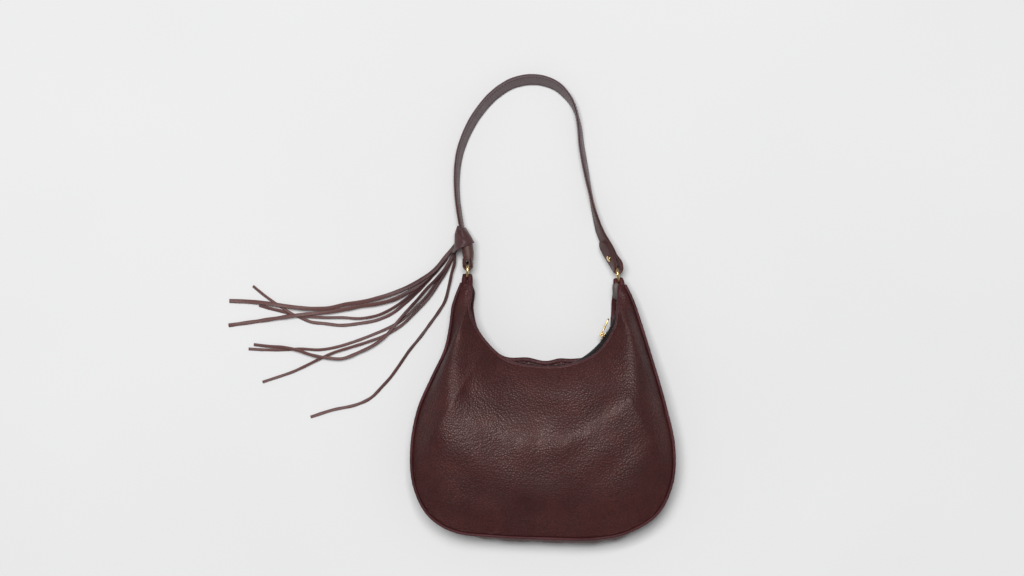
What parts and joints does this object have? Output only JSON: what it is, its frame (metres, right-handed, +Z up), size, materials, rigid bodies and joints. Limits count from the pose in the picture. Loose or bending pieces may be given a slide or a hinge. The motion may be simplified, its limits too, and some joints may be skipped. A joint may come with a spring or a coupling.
{
  "type": "hobo bag",
  "caption": "Soft leather hobo bag lying on its back: crescent body, curved zip mouth, shoulder strap on rings, and a leather tassel.",
  "frame": {"origin": "on the floor under the flat of the back panel, on the bag's middle line", "axes": "+Y from the base towards the strap, +Z up out of the front panel as the bag lies on its back, +X to the right seen from above"},
  "size_m": [0.5109, 0.5312, 0.0729],
  "materials": {
    "body_leather": "pebbled, semi-matt",
    "trim_leather": "smooth, semi-matt",
    "strap_leather": "fine grain, satin",
    "fringe_leather": "fine grain, satin, raw cut edges",
    "zip_tape": "herringbone tape",
    "zip_coil": "nylon coil, satin",
    "zip_metal": "polished, gold tone",
    "gold_hardware": "polished, gold tone",
    "lining_cloth": "plain cotton twill"
  },
  "bodies": {
    "bag": {"front_panel": "body_leather", "back_panel": "body_leather", "gusset_left": "body_leather", "gusset_right": "body_leather", "front_piping": "trim_leather", "back_piping": "trim_leather", "front_neck_binding": "trim_leather", "back_neck_binding": "trim_leather", "zip_tape_front": "zip_tape", "zip_tape_back": "zip_tape", "zip_teeth_front": "zip_coil", "zip_teeth_back": "zip_coil", "zip_top_stop_front": "zip_coil", "zip_top_stop_back": "zip_coil", "zip_bottom_stop": "zip_coil", "zip_end_tab_left": "trim_leather", "zip_end_tab_right": "trim_leather", "lining_front": "lining_cloth", "lining_back": "lining_cloth", "slip_pocket": "lining_cloth", "horn_loop_left": "trim_leather", "horn_loop_right": "trim_leather"},
    "ring_left": {"ring_left": "gold_hardware"},
    "ring_right": {"ring_right": "gold_hardware"},
    "strap": {"strap_outer": "strap_leather", "strap_lining": "strap_leather", "strap_rivet_left": "gold_hardware", "strap_rivet_right": "gold_hardware", "tassel_knot": "strap_leather"},
    "fringe": {"fringe_strand_a": "fringe_leather", "fringe_strand_b": "fringe_leather", "fringe_strand_c": "fringe_leather", "fringe_strand_d": "fringe_leather", "fringe_strand_e": "fringe_leather", "fringe_strand_f": "fringe_leather", "fringe_strand_g": "fringe_leather", "fringe_strand_h": "fringe_leather"},
    "zip_slider": {"zip_slider": "zip_metal"},
    "zip_pull": {"zip_pull": "zip_metal"}
  },
  "joints": [
    {"name": "ring_left_spin", "type": "hinge", "parent": "bag", "child": "ring_left", "pos_m": [-0.086, 0.2045, 0.022], "axis": [0.9996, -0.0275, 0], "continuous": true},
    {"name": "ring_right_spin", "type": "hinge", "parent": "bag", "child": "ring_right", "pos_m": [0.085, 0.1998, 0.022], "axis": [0.9892, 0.1465, 0], "continuous": true},
    {"name": "strap_swing", "type": "hinge", "parent": "bag", "child": "strap", "pos_m": [-0.086, 0.2045, 0.022], "axis": [0.9996, -0.0275, 0], "range_deg": [0, 95]},
    {"name": "fringe_level", "type": "hinge", "parent": "strap", "child": "fringe", "pos_m": [-0.102, 0.228, 0.01], "axis": [0.9996, -0.0275, 0], "range_deg": [-95, 0]},
    {"name": "zip_travel", "type": "hinge", "parent": "bag", "child": "zip_slider", "pos_m": [-0.0012, 0.179, 0.022], "axis": [0, 0, 1], "range_deg": [-121, 16]},
    {"name": "pull_flip", "type": "hinge", "parent": "zip_slider", "child": "zip_pull", "pos_m": [0.06654, 0.13157, 0.022], "axis": [0, 0, 1], "range_deg": [-1, 165]}
  ],
  "couplings": [
    {"joint": "fringe_level", "follows": "strap_swing", "ratio": -1}
  ]
}
